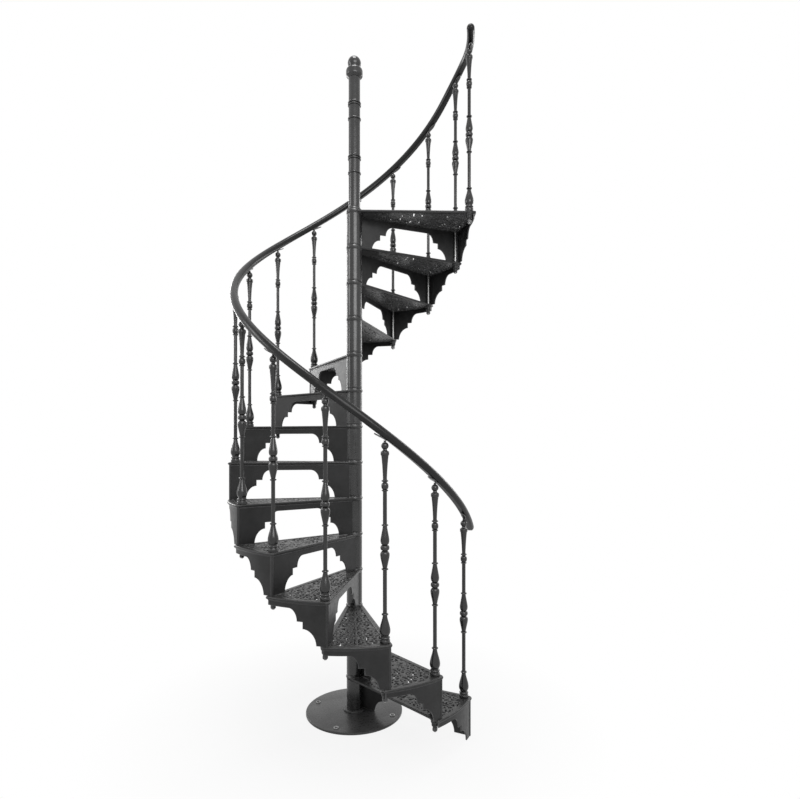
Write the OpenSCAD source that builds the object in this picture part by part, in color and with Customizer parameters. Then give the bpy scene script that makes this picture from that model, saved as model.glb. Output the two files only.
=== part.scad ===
// Cast iron spiral staircase: a newel column on a round base plate, one casting
// for each step, turned balusters on the outer edge and a helical handrail.
// It climbs clockwise seen from above. The origin is on the column axis at the
// floor, +Z is up, and all sizes are in millimetres.

/* [Stair] */
// Height of one step
riser = 205; // [170:1:250]
// Number of steps
steps = 14; // [8:1:20]
// Turn of one step, in degrees
step_angle = 24; // [20:0.5:30]
// Direction of the first nosing, in degrees clockwise from +X
first_angle = 25; // [0:1:90]
// Diameter over the outer lip of the treads
stair_d = 1400; // [1160:10:1700]

/* [Tread] */
// Thickness of the tread plate and its rounded edge
slab_t = 14; // [10:1:18]
// How far the plate stands out past the riser and the skirt
lip = 10; // [6:1:14]
// Thickness of the riser and skirt walls
wall = 8; // [6:1:9]
// Depth of the solid band under the plate, above the arches
apron = 41; // [36:1:50]
// Height of the step in the riser's arch above the tread below
arch_step = 106; // [80:1:112]
// Height of the lower cove of the arch
cove_h = 74; // [50:1:76]
// Clear gap between a riser and the studs behind it
stud_gap = 4; // [2:0.5:8]
// Rear edge behind the next baluster's centre at the outer corner
rear_off = 14; // [10:1:20]
// Diameter of the ear round the next baluster at the rear corner
ear_d = 48; // [44:1:54]
// Width of the deeper rim under the edges of the plate
rim = 26; // [20:1:34]
// Thickness of the deck inside the rim
deck_t = 8; // [6:1:10]

/* [Column] */
// Diameter of the steel core of the column
core_d = 50; // [40:1:56]
// Diameter of the hub sleeve on each tread
hub_d = 88; // [80:1:110]
// How far the bead ring at the top of a hub stands out
hub_bead = 4; // [2:0.5:8]
// How far a hub stands above its tread
hub_lift = 12; // [8:1:16]
// Diameter of the newel sleeves above the top tread
newel_d = 66; // [64:1:78]
// How far the bead rings on the newel stand out
newel_bead = 5; // [3:0.5:8]
// Height of the lower newel sleeve
sleeve_lower = 312; // [270:1:380]
// Height of the middle newel sleeve
sleeve_middle = 309; // [270:1:380]
// Height of the upper newel sleeve
sleeve_upper = 138; // [100:1:200]
// Height of the middle bead above the foot of its sleeve
bead_z = 210; // [150:1:230]
// Diameter of the ball on the newel
ball_d = 76; // [66:1:90]

/* [Base plate] */
// Diameter of the base plate
base_d = 550; // [480:5:700]
// Thickness of the base plate
base_t = 12; // [10:1:20]
// Height of the raised ring that the column stands in
boss_h = 10; // [6:1:20]
// Diameter of the raised ring
boss_d = 124; // [110:1:150]
// Diameter of the floor bolt holes
bolt_d = 18; // [12:0.5:22]
// Distance from the plate's edge to the middle of the floor bolts
bolt_in = 41; // [20:1:60]
// Direction of the first bolt hole, in degrees clockwise from +X
bolt_angle = 20; // [0:1:60]

/* [Balusters and handrail] */
// Distance from the outer lip to the middle of the balusters
post_in = 40; // [38:1:60]
// Height of a baluster above its tread
baluster_h = 930; // [770:5:1120]
// Diameter of the plain rod between the turnings
rod_d = 19; // [16:0.5:22]
// Diameter of the fixing stud below a baluster
stud_d = 16; // [12:0.5:17]
// Diameter of the handrail
rail_d = 44; // [40:1:52]
// How far the middle of the handrail stands outside the balusters
rail_out = 6; // [0:1:8]
// Room between a baluster's top and the handrail's underside
rail_gap = 7; // [7:0.5:14]
// How far the handrail runs past the end balusters, in degrees
rail_end = 12; // [8:1:14]

/* [Fit] */
// Gap left between castings that bear on one another
seat = 0.3; // [0.2:0.05:0.4]

/* [Hidden] */
TREADS = [for (k = [1:steps]) str("tread_", k < 10 ? "0" : "", k)];
BALUSTERS = [for (k = [1:steps + 1]) str("baluster_", k < 10 ? "0" : "", k)];

lip_r = stair_d / 2;
post_r = lip_r - post_in;
hub_r = hub_d / 2;
hub_ring_d = hub_d + 2 * hub_bead;
newel_ring_d = newel_d + 2 * newel_bead;
bolt_pcd = base_d - 2 * bolt_in;
rail_r = post_r + rail_out;
bore_d = core_d + 2 * seat;
stud_bore = stud_d + 2 * seat;
// Nosing edge ahead of the baluster's centre at the outer corner
nose_off = lip + wall + stud_gap + stud_d / 2;
lug_h = apron + 9;
nut_h = 14;
top_z = steps * riser + hub_lift;
iron = [0.17, 0.17, 0.175];
worn = [0.30, 0.30, 0.305];

// Angle between a step's corner direction and the edge that runs from there to the hub
function lean(off) = asin(off / lip_r) - asin(hub_r / lip_r);
// Direction of baluster k, clockwise from +X
function turn(k) = first_angle + (k - 1) * step_angle;

// Points of a quarter of an ellipse about [cx, cy], from angle a0 to a1
function quarter(cx, cy, rx, ry, a0, a1, n = 8) =
    [for (i = [0:n]) let (a = a0 + (a1 - a0) * i / n) [cx + rx * cos(a), cy + ry * sin(a)]];

// Half of the stepped arch: from the foot at x = f[0], up a cove to f[1], over the
// step to f[2] and up a second cove to the flat top that starts at f[3]
function arch_side(f, top) = concat(
    [[f[0], -riser - 4]],
    quarter(f[1], -riser - 2, f[0] - f[1], cove_h + 2, 0, 90),
    [[f[1], arch_step - riser], [f[2], arch_step - riser]],
    quarter(f[3], arch_step - riser, f[2] - f[3], riser - arch_step - top, 0, 90));

function reversed(v) = [for (i = [len(v) - 1:-1:0]) v[i]];

// Stepped arch through a wall of length len, feet at both ends
module stepped_arch(near, far, top) {
    polygon(concat(arch_side(near, top), reversed(arch_side(far, top))));
}

// Plan of a tread: hub, straight nosing and rear edges tangent to it, outer arc, and
// the ear at the rear corner
module plan(inset = 0, out = 0) {
    a = lean(nose_off);
    b = -step_angle - lean(rear_off);
    r = lip_r - out;
    intersection() {
        circle(r = r, $fn = 180);
        union() {
            circle(r = hub_r - min(inset, hub_r - 20), $fn = 72);
            polygon([
                [-(hub_r - inset) * sin(a), (hub_r - inset) * cos(a)],
                [1.2 * r * cos(a) - (hub_r - inset) * sin(a),
                 1.2 * r * sin(a) + (hub_r - inset) * cos(a)],
                [1.2 * r * cos(b) + (hub_r - inset) * sin(b),
                 1.2 * r * sin(b) - (hub_r - inset) * cos(b)],
                [(hub_r - inset) * sin(b), -(hub_r - inset) * cos(b)]]);
            if (inset < 6)
                rotate([0, 0, -step_angle]) translate([post_r, 0])
                    circle(r = ear_d / 2 - inset, $fn = 72);
        }
    }
}

// Tread plate with a rounded edge and a deeper rim
module plate() {
    translate([0, 0, -2.5]) linear_extrude(2.5) plan(2.5, 2.5);
    difference() {
        translate([0, 0, -slab_t + 3]) linear_extrude(slab_t - 5.5) plan();
        translate([0, 0, -slab_t]) linear_extrude(slab_t - deck_t) plan(rim, rim + 20);
    }
    difference() {
        translate([0, 0, -slab_t]) linear_extrude(3) plan(3, 3);
        translate([0, 0, -slab_t - 1]) linear_extrude(5) plan(rim, rim + 20);
    }
}

// Plan of the upright walls: the riser under the nosing, the curved skirt under the
// outer lip, and a round bead where they meet
module wall_plan() {
    y = hub_r - lip;
    intersection() {
        rotate([0, 0, lean(nose_off)]) translate([0, y - wall]) square([lip_r, wall]);
        circle(r = lip_r - lip - 1, $fn = 180);
    }
    difference() {
        plan(lip, lip);
        circle(r = lip_r - lip - wall, $fn = 180);
    }
    rotate([0, 0, lean(nose_off)])
        translate([sqrt(pow(lip_r - lip - 5, 2) - pow(y - 5, 2)), y - 5]) circle(d = 16, $fn = 48);
}

// Stepped arch through the riser, its feet at the outer corner and at the hub
module riser_opening() {
    length = sqrt(pow(lip_r - lip, 2) - pow(hub_r - lip, 2));
    outer = [88, 144, 176, 216];
    inner = [71, 124, 160, 207];
    rotate([0, 0, lean(nose_off)]) translate([0, hub_r - lip + 6, 0]) rotate([90, 0, 0])
        linear_extrude(wall + 12)
            stepped_arch([for (v = outer) length - v], [for (v = inner) hub_r + v], apron + 4);
}

// Half arch through the skirt: deep at the nosing, shallow towards the rear corner
module skirt_opening() {
    span = 2 * lip_r * sin(step_angle / 2);
    foot = [for (v = [0.127, 0.354, 0.455, 0.6]) span / 2 - v * span];
    rotate([0, 0, -step_angle / 2]) translate([lip_r * 0.8, 0, 0])
        rotate([90, 0, 90]) linear_extrude(lip_r * 0.3)
            polygon(concat(arch_side(foot, apron), [[-span, -apron], [-span, -riser - 4]]));
}

// Riser and skirt of one step, standing gap above the step below
module walls(gap) {
    difference() {
        translate([0, 0, -riser + gap]) linear_extrude(riser - gap - slab_t + 3) wall_plan();
        riser_opening();
        skirt_opening();
    }
}

// Socket at the rear corner that takes the next baluster's stud
module lug() {
    rotate([0, 0, -step_angle]) translate([post_r, 0, -lug_h])
        rotate_extrude($fn = 64)
            polygon([[0, 0], [11.5, 0], [11.5, 7], [15, 9], [17, 13], [17, lug_h - 24],
                     [19.5, lug_h - 21], [19.5, lug_h - 3], [0, lug_h - 3]]);
}

// Stud holes at the nosing corner and the rear corner
module stud_holes() {
    for (a = [0, -step_angle])
        rotate([0, 0, a]) translate([post_r, 0, -lug_h - 1])
            cylinder(d = stud_bore, h = lug_h + 2, $fn = 48);
}

// Hub sleeve round the core, down to the hub below, with a bead at its top
module hub(bottom) {
    rotate_extrude($fn = 96)
        polygon([[bore_d / 2, bottom], [hub_r, bottom], [hub_r, -18], [hub_r + 2, -16],
                 [hub_ring_d / 2, -9], [hub_ring_d / 2, 2], [hub_r + 1, hub_lift - 2],
                 [hub_r - 1, hub_lift], [bore_d / 2, hub_lift]]);
}

// One step casting in its own frame: baluster corner along +X, tread top at z = 0
module step_casting(first) {
    gap = first ? 0 : seat;
    bottom = -riser + seat + (first ? base_t + boss_h : hub_lift);
    color(iron)
    union() {
        difference() {
            union() {
                plate();
                walls(gap);
                lug();
            }
            translate([0, 0, -riser - 1]) cylinder(d = hub_d - 6, h = riser + 20, $fn = 96);
            translate([0, 0, -riser - 1])
                cylinder(d = 4 + (first ? boss_d : hub_ring_d), h = bottom + riser + 1, $fn = 96);
            stud_holes();
            if (first)
                translate([0, 0, -riser - 1])
                    cylinder(d = base_d + 4, h = base_t + seat + 1, $fn = 180);
        }
        hub(bottom);
    }
}

module tread(k) {
    translate([0, 0, k * riser]) rotate([0, 0, -turn(k)]) step_casting(k == 1);
}

// Round plate bolted to the floor, with a raised ring that locates the column
module base_plate() {
    color(worn)
    difference() {
        union() {
            rotate_extrude($fn = 180)
                polygon([[0, 0], [base_d / 2, 0], [base_d / 2, base_t - 2],
                         [base_d / 2 - 2, base_t], [0, base_t]]);
            cylinder(d = boss_d, h = base_t + boss_h, $fn = 96);
        }
        translate([0, 0, base_t / 2]) cylinder(d = bore_d, h = base_t + boss_h, $fn = 96);
        for (i = [0:3])
            rotate([0, 0, -bolt_angle - 90 * i]) translate([bolt_pcd / 2, 0, -1])
                cylinder(d = bolt_d, h = base_t + 2, $fn = 48);
    }
}

// Steel core that the hubs and sleeves are threaded on
module centre_column() {
    color(iron)
    translate([0, 0, base_t / 2 + seat])
        cylinder(d = core_d, h = sleeve_z[3] + 18 - base_t / 2 - seat, $fn = 96);
}

// Joints between the newel sleeves, from the top hub to the cap
sleeve_z = [top_z + seat, top_z + sleeve_lower, top_z + sleeve_lower + sleeve_middle,
            top_z + sleeve_lower + sleeve_middle + sleeve_upper];

// Bead round a sleeve at height z, as points of its outline going up
function bead(z, w) = [[newel_d / 2, z - w], [newel_ring_d / 2 - 1, z - 0.55 * w],
                       [newel_ring_d / 2, z], [newel_ring_d / 2 - 1, z + 0.55 * w],
                       [newel_d / 2, z + w]];

// Newel sleeve from z0 to z1 with beads at the listed heights
module newel_sleeve(z0, z1, beads, flare = 0) {
    color(iron)
    rotate_extrude($fn = 96)
        polygon(concat(
            [[bore_d / 2, z0], [newel_d / 2 + flare, z0], [newel_d / 2 + flare, z0 + flare],
             [newel_d / 2, z0 + 2 * flare + 1]],
            [for (b = beads) each bead(b, 6)],
            [[newel_d / 2, z1], [bore_d / 2, z1]]));
}

// Cap collar and ball on top of the newel
module newel_finial() {
    z = sleeve_z[3] + seat;
    r = ball_d / 2;
    ball_z = 63 + 0.61 * r;
    color(iron)
    translate([0, 0, z]) difference() {
        rotate_extrude($fn = 96)
            polygon(concat(
                [[0, 0], [newel_d / 2, 0], [newel_d / 2 + 6, 5], [47, 12], [48, 22], [48, 36],
                 [46, 46], [38, 52], [32, 53], [29, 56]],
                [for (i = [0:14]) let (a = -38 + 128 * i / 14)
                    [max(0, r * cos(a)), ball_z + r * sin(a)]]));
        translate([0, 0, -1]) cylinder(d = bore_d, h = 1 + 20, $fn = 96);
    }
}

// Rise of the handrail, in steps, at s steps past the first baluster: it climbs
// with the treads and turns level at the last two balusters
bend = 0.5;
main_slope = atan(riser / (step_angle * PI / 180 * rail_r));
rail_lift = (rail_d / 2 + 1.5) / cos(main_slope) + rail_gap;
function climb(s) = s < steps - 1 - bend ? s
    : s < steps - 1 + bend ? s - pow(s - steps + 1 + bend, 2) / (4 * bend)
    : steps - 1;
function rail_z(s) = riser * (1 + climb(s)) + baluster_h + rail_lift;
// Slope angle of the handrail at s
function slope(s) = let (e = 0.01)
    atan((rail_z(s + e) - rail_z(s - e)) / (2 * e * step_angle * PI / 180 * rail_r));

// Top of baluster k: where the handrail bends it stands lower than the others
function post_top(k) = rail_z(k - 1) - (rail_d / 2 + 1.5) / cos(slope(k - 1)) - rail_gap;

// Bead of radius w round a rod of radius r, centred at height fraction c
function ring(c, r, w) = [[c - 0.0045, r], [c - 0.0035, w - 1.5], [c - 0.002, w],
                          [c + 0.002, w], [c + 0.0035, w - 1.5], [c + 0.0045, r]];

// Outline of a baluster as [height fraction, radius], from the tread up
function turning(r) = concat(
    [[0, 21.5], [0.016, 21.5], [0.018, 19], [0.021, 18], [0.024, 20.5], [0.030, 20.5],
     [0.033, 17], [0.036, 16.5], [0.042, 19], [0.050, 21.8], [0.059, 22.5], [0.070, 22],
     [0.084, 20], [0.099, 17], [0.113, 13.8], [0.127, 11]],
    ring(0.142, r, 14.5), ring(0.367, r, 14.5),
    [[0.380, 11.3], [0.393, 13.3], [0.410, 16], [0.425, 18.5], [0.436, 19.6], [0.444, 19.6],
     [0.451, 18], [0.456, 14.5], [0.459, 10.8], [0.4625, 14.5], [0.467, 17.8], [0.474, 19],
     [0.481, 17.8], [0.4855, 14.5], [0.488, 11.5], [0.491, 14.8], [0.496, 16.9], [0.504, 18.4],
     [0.512, 18.5], [0.522, 17.6], [0.535, 16], [0.550, 14], [0.566, 11.8]],
    ring(0.586, r, 14.5), ring(0.759, r, 14),
    [[0.766, 10.5], [0.769, 12.6], [0.774, 14.8], [0.782, 15.5], [0.790, 14.6], [0.795, 12],
     [0.798, 9.2], [0.801, 12.5], [0.8035, 14.5], [0.8095, 14.5], [0.812, 12.5], [0.815, 9.6],
     [0.830, 9.8], [0.860, 10.8], [0.890, 12.3], [0.915, 14.2], [0.928, 15.3], [0.933, 15.6],
     [0.936, 17.2], [0.939, 18], [0.950, 18], [0.953, 16.5], [0.956, 12], [0.961, 10],
     [0.966, 10]]);

// Baluster k with its fixing stud, standing on its tread
module baluster(k) {
    foot = min(k, steps) * riser;
    drop = k == 1 ? slab_t + nut_h + 8
        : (k > steps ? 0 : riser) + lug_h + nut_h + 6;
    h = post_top(k) - foot - seat;
    drop_top = h - baluster_h + seat;
    ball = 15.5;
    color(iron)
    rotate([0, 0, -turn(k)]) translate([post_r, 0, foot + seat]) {
        rotate_extrude($fn = 64)
            polygon(concat(
                [[0, 0]],
                [for (p = turning(rod_d / 2))
                    [p[1], p[0] * baluster_h + (p[0] > 0.7 ? drop_top : 0)]],
                [for (i = [0:10]) let (a = -50 + 128 * i / 10)
                    [ball * cos(a), h - ball * sin(78) + ball * sin(a)]],
                [[0, h]]));
        translate([0, 0, -drop]) cylinder(d = stud_d, h = drop + 1, $fn = 48);
    }
}

// Hex nut under each stud
module baluster_nuts() {
    color(worn)
    for (k = [1:steps + 1]) {
        under = k == 1 ? riser - slab_t : (k - 1) * riser - lug_h;
        rotate([0, 0, -turn(k)]) translate([post_r, 0, under - seat - nut_h]) difference() {
            cylinder(d = 26, h = nut_h, $fn = 6);
            translate([0, 0, -1]) cylinder(d = stud_bore, h = nut_h + 2, $fn = 48);
        }
    }
}

// Point of the handrail's skin at s: a sideways and b upwards of its middle line
function rail_point(s, a, b) =
    let (t = -(first_angle + s * step_angle), e = slope(s),
         r = rail_r + a, fwd = -b * sin(e))
    [r * cos(t) + fwd * sin(t), r * sin(t) - fwd * cos(t), rail_z(s) + b * cos(e)];

// Section of the handrail, round with a flat underside, scaled by q
rail_sides = 16;
function rail_section(q) = [for (j = [0:rail_sides - 1]) let (a = 360 * j / rail_sides)
    [q * rail_d / 2 * cos(a), q * max(-rail_d / 2 + 4, rail_d / 2 * sin(a))]];

// Stations along the handrail as [s, scale], with rounded ends
rail_stops = let (s0 = -rail_end / step_angle, s1 = steps + rail_end / step_angle,
                  q = rail_d / 2 / rail_r * 180 / PI / step_angle, n = 84)
    concat([for (i = [1:4]) let (a = 90 * i / 5) [s0 + q * (1 - sin(a)), cos(90 - a)]],
           [for (i = [0:n]) [s0 + q + (s1 - s0 - 2 * q) * i / n, 1]],
           [for (i = [4:-1:1]) let (a = 90 * i / 5) [s1 - q * (1 - sin(a)), cos(90 - a)]]);

module handrail() {
    n = len(rail_stops);
    m = rail_sides;
    points = [for (st = rail_stops) for (p = rail_section(st[1])) rail_point(st[0], p[0], p[1])];
    sides = [for (i = [0:n - 2]) for (j = [0:m - 1]) let (k = (j + 1) % m)
        each [[i * m + j, i * m + k, (i + 1) * m + k], [i * m + j, (i + 1) * m + k, (i + 1) * m + j]]];
    color(iron)
    polyhedron(points = points,
        faces = concat(sides, [[for (j = [m - 1:-1:0]) j]], [[for (j = [0:m - 1]) (n - 1) * m + j]]));
}

// Saddle plates that follow the handrail, each on a short neck over a baluster
module rail_brackets() {
    color(iron)
    for (k = [1:steps + 1]) {
        e = slope(k - 1);
        z = rail_z(k - 1);
        bow = (slope(k - 1.1) - slope(k - 0.9)) * PI / 180 * 28 / 2.5;
        plate_b = -rail_d / 2 + 4 - seat - 0.15 - bow - 5.5;
        rotate([0, 0, -turn(k)]) {
            translate([rail_r, 0, z]) rotate([-e, 0, 0]) translate([-11, -28, plate_b])
                cube([22, 56, 5.5]);
            intersection() {
                translate([post_r, 0, post_top(k)]) cylinder(d = 15, h = 60, $fn = 48);
                translate([rail_r, 0, z]) rotate([-e, 0, 0]) translate([-30, -60, plate_b - 97])
                    cube([60, 120, 100]);
            }
        }
    }
}

base_plate();
centre_column();
for (k = [1:steps])
    tread(k);
for (k = [1:steps + 1])
    baluster(k);
newel_sleeve(sleeve_z[0], sleeve_z[1], [sleeve_z[0] + bead_z, sleeve_z[1] - 20,  // newel_sleeve_lower
                                            sleeve_z[1] - 7], 4);
newel_sleeve(sleeve_z[1] + seat, sleeve_z[2], [sleeve_z[1] + bead_z,  // newel_sleeve_middle
                                                   sleeve_z[2] - 20, sleeve_z[2] - 7]);
newel_sleeve(sleeve_z[2] + seat, sleeve_z[3], []);  // newel_sleeve_upper
newel_finial();
handrail();
rail_brackets();
baluster_nuts();
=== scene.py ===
import math

import bmesh
import bpy
import numpy as np
from mathutils import Matrix, Vector
from mathutils.geometry import delaunay_2d_cdt


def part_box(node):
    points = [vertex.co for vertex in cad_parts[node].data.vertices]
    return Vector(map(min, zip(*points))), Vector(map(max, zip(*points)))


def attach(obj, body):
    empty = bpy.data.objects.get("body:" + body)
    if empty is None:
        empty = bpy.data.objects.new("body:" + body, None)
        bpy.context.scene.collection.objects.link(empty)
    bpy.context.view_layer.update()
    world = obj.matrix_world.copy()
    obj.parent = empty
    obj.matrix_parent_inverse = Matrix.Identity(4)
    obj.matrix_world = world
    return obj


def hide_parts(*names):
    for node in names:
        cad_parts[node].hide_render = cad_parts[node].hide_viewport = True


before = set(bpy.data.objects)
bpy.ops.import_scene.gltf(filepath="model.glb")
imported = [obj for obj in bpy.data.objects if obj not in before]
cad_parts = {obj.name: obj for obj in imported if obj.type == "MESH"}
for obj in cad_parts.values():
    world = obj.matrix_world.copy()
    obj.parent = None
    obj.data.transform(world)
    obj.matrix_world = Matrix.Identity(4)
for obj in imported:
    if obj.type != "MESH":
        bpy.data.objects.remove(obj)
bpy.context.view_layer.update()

# Cast iron spiral staircase. Shapes are worked out in millimetres, in the same
# frame as the CAD, and turned into metres when a mesh is made. sin, cos and asin
# below work in degrees, and those of math in radians.
MM = 0.001

RISER = round((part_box("tread_02")[1].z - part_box("tread_01")[1].z) / MM, 3)
STEPS = 14
TURN = 24.0                 # degrees from one step to the next
FIRST = 25.0                # bearing of the first baluster, clockwise from +x
OUTER_R, LIP_R = 700.0, 699.8   # the stair's radius, and the lips' just inside it
HUB_R, BORE_R = 44.0, 25.4  # hubs, and the bore of all that is threaded on the core
POST_R = 660.0              # circle of the balusters
NOSE, REAR = 30.0, 14.0     # how far a tread's edges pass its two balusters
LIP, WALL = 10.0, 8.0       # overhang past the riser, and the webs' thickness
APRON = 41.0                # depth of the skirts over their arches
ARCH_STEP, COVE = 106.0, 74.0   # an arch's step and lower cove, over the tread below
HUB_LIFT = 12.0             # hub's top over the tread's
SEAT = 0.3                  # gap between parts that rest on each other
BASE_TOP, BOSS_TOP = 12.0, 22.0    # the base plate, and its ring round the column
RAIL_R, RAIL_D = 666.0, 44.0    # circle of the rail, and its thickness
RAIL_GAP = 7.0              # from a baluster's top to the rail
BALUSTER_H = 930.0
LUG = APRON + 9.0           # depth of the sockets below the tread's top
LIP_DEPTH, NUT_H = 14.0, 14.0    # under the first tread's lip the first nut bears


def sin(d):
    return math.sin(math.radians(d))


def cos(d):
    return math.cos(math.radians(d))


def asin(x):
    return math.degrees(math.asin(x))


def turn(k):
    """Clockwise bearing of baluster k."""
    return FIRST + (k - 1) * TURN


# ---------------------------------------------------------------- mesh helpers

class Shape:
    """Vertices and faces in millimetres, gathered from several parts."""

    def __init__(self):
        self.v, self.f = [], []

    def add(self, verts, faces, place=None):
        base = len(self.v)
        if place is not None:
            verts = [place(p) for p in verts]
        self.v += [tuple(float(c) for c in p) for p in verts]
        self.f += [tuple(base + i for i in f) for f in faces]

    def mesh(self, name, sharp=34.0):
        """A mesh in metres, smooth but where faces meet at over sharp degrees."""
        bm = bmesh.new()
        vs = [bm.verts.new((x * MM, y * MM, z * MM)) for x, y, z in self.v]
        for f in self.f:
            if len(set(f)) > 2:
                try:
                    bm.faces.new([vs[i] for i in dict.fromkeys(f)])
                except ValueError:    # this face is there already
                    pass
        bmesh.ops.remove_doubles(bm, verts=bm.verts, dist=1e-6)
        loose = [v for v in bm.verts if not v.link_faces]
        bmesh.ops.delete(bm, geom=loose, context="VERTS")
        bmesh.ops.recalc_face_normals(bm, faces=bm.faces)
        for f in bm.faces:
            f.smooth = True
        for e in bm.edges:
            if len(e.link_faces) == 2 and e.calc_face_angle(0) > math.radians(sharp):
                e.smooth = False
        me = bpy.data.meshes.new(name)
        bm.to_mesh(me)
        bm.free()
        return me


def wrap(rows, n, closed=False, base=0):
    """Faces that join rows of n points, each row to the next, and with closed
    the last to the first. base is the index of the first point."""
    faces = []
    for row in range(rows if closed else rows - 1):
        a, b = base + row * n, base + (row + 1) % rows * n
        for i in range(n):
            j = (i + 1) % n
            faces.append((a + i, a + j, b + j, b + i))
    return faces


def ends(rows, n):
    """Faces that close the first and the last of such rows."""
    return [tuple(range(n)), tuple((rows - 1) * n + i for i in range(n))]


def swung(angle, dx=0.0, dy=0.0, dz=0.0):
    """Moves points by dx, dy and dz, and then turns them by angle about Z."""
    c, s = cos(angle), sin(angle)
    return lambda q: ((q[0] + dx) * c - (q[1] + dy) * s, (q[0] + dx) * s + (q[1] + dy) * c, q[2] + dz)


def guarded(profile, keep=4.0):
    """Adds points near both ends of each long stretch, so that what belongs
    to an edge, such as its worn paint and painted highlight, stays near it."""
    out = [profile[0]]
    for a, b in zip(profile, profile[1:]):
        length = math.dist(a, b)
        if length > 3 * keep:
            for t in (keep / length, 1 - keep / length):
                out.append((a[0] + (b[0] - a[0]) * t, a[1] + (b[1] - a[1]) * t))
        out.append(b)
    return out


def lathe(profile, n):
    """Solid of revolution about Z from [(radius, z), ...]."""
    verts, rows = [], []
    for r, z in guarded(profile):
        if r < 1e-6:
            rows.append([len(verts)])
            verts.append((0, 0, z))
        else:
            rows.append(list(range(len(verts), len(verts) + n)))
            verts += [(r * math.cos(2 * math.pi * i / n), r * math.sin(2 * math.pi * i / n), z)
                      for i in range(n)]
    faces = []
    for a, b in zip(rows, rows[1:]):
        for i in range(n):
            j = (i + 1) % n
            if len(a) == 1 and len(b) == 1:
                break
            if len(a) == 1:
                faces.append((a[0], b[i], b[j]))
            elif len(b) == 1:
                faces.append((a[i], a[j], b[0]))
            else:
                faces.append((a[i], a[j], b[j], b[i]))
    return verts, faces


def soften(profile, step):
    """Catmull-Rom points between the given ones, for a smooth outline."""
    p = [profile[0]] + list(profile) + [profile[-1]]
    out = []
    for i in range(1, len(p) - 2):
        a, b, c, d = (np.array(q, float) for q in p[i - 1:i + 3])
        out.append(tuple(b))
        for j in range(1, step):
            t = j / step
            q = 0.5 * (2 * b + (c - a) * t + (2 * a - 5 * b + 4 * c - d) * t * t
                       + (3 * b - a - 3 * c + d) * t ** 3)
            out.append((max(q[0], 0.0), q[1]))
    out.append(tuple(profile[-1]))
    return out


def inward(loop):
    """Mitred unit offsets into the solid, which lies left of each loop."""
    e = np.roll(loop, -1, 0) - loop
    e /= np.maximum(np.linalg.norm(e, axis=1, keepdims=True), 1e-9)
    n = np.stack([-e[:, 1], e[:, 0]], 1)
    m = np.roll(n, 1, 0) + n
    return m / np.maximum((m * n).sum(1, keepdims=True), 0.7)


def area(loop):
    """Above 0 where the loop runs anticlockwise."""
    x, y = loop[:, 0], loop[:, 1]
    return 0.5 * float(np.sum(x * np.roll(y, -1) - y * np.roll(x, -1)))


def inside(points, loops):
    """Even-odd test of points against closed loops."""
    hit = np.zeros(len(points), bool)
    px, py = points[:, :1], points[:, 1:]
    for loop in loops:
        x0, y0 = loop[:, 0], loop[:, 1]
        x1, y1 = np.roll(x0, -1), np.roll(y0, -1)
        cross = (y0 > py) != (y1 > py)
        with np.errstate(divide="ignore", invalid="ignore"):
            x = x0 + (py - y0) * (x1 - x0) / (y1 - y0)
        hit ^= (np.sum(cross & (px < x), axis=1) % 2).astype(bool)
    return hit


def fill(loops):
    """Triangles between the loops, as indices into their joined points."""
    pts = np.concatenate(loops)
    edges, start = [], 0
    for loop in loops:
        n = len(loop)
        edges += [(start + i, start + (i + 1) % n) for i in range(n)]
        start += n
    out = delaunay_2d_cdt([Vector(p) for p in pts], edges, [], 0, 1e-4)
    where = [Vector((v[0], v[1])) for v in out[0]]
    tris = [f for f in out[2] if len(f) == 3]
    mid = np.array([[sum(where[i][c] for i in f) / 3 for c in (0, 1)] for f in tris])
    keep = inside(mid, loops)
    return [tuple(v) for v in where], [f for f, k in zip(tris, keep) if k]


def plate(loops, z0, z1, edge=1.0, under=0.6, rounds=1, guard=0.0):
    """Flat casting between z0 and z1. Outer loops run anticlockwise and holes
    clockwise. edge is the radius of its upper edges, rounded in so many steps,
    and under the chamfer of the lower ones. guard is how far inside its edges
    each flat face has another row of points."""
    verts, faces = [], []
    tops, bottoms = [], []
    for loop in loops:
        n, off = len(loop), inward(loop)
        steps = [(edge * (1 - math.sin(math.pi / 2 * i / rounds)),
                  z1 - edge * (1 - math.cos(math.pi / 2 * i / rounds)))
                 for i in range(rounds + 1)]
        steps += [(0.0, z0 + under), (under, z0)] if under else [(0.0, z0)]
        if guard:
            steps = [(guard, z1)] + steps + [(guard, z0)]
        faces += wrap(len(steps), n, base=len(verts))
        for d, z in steps:
            verts += [(x, y, z) for x, y in loop + off * d]
        tops.append(loop + off * steps[0][0])
        bottoms.append(loop + off * steps[-1][0])
    for flat, z in ((tops, z1), (bottoms, z0)):
        pts, tris = fill(flat)
        base = len(verts)
        verts += [(x, y, z) for x, y in pts]
        faces += [tuple(base + i for i in t) for t in tris]
    return verts, faces


def ccw(loop):
    """The loop as an array that runs anticlockwise."""
    loop = np.array(loop, float)
    return loop if area(loop) > 0 else loop[::-1]


def ring_points(cx, cy, r, n):
    """n points anticlockwise round a circle."""
    a = np.arange(n) * 2 * math.pi / n
    return np.stack([cx + r * np.cos(a), cy + r * np.sin(a)], 1)


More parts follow.
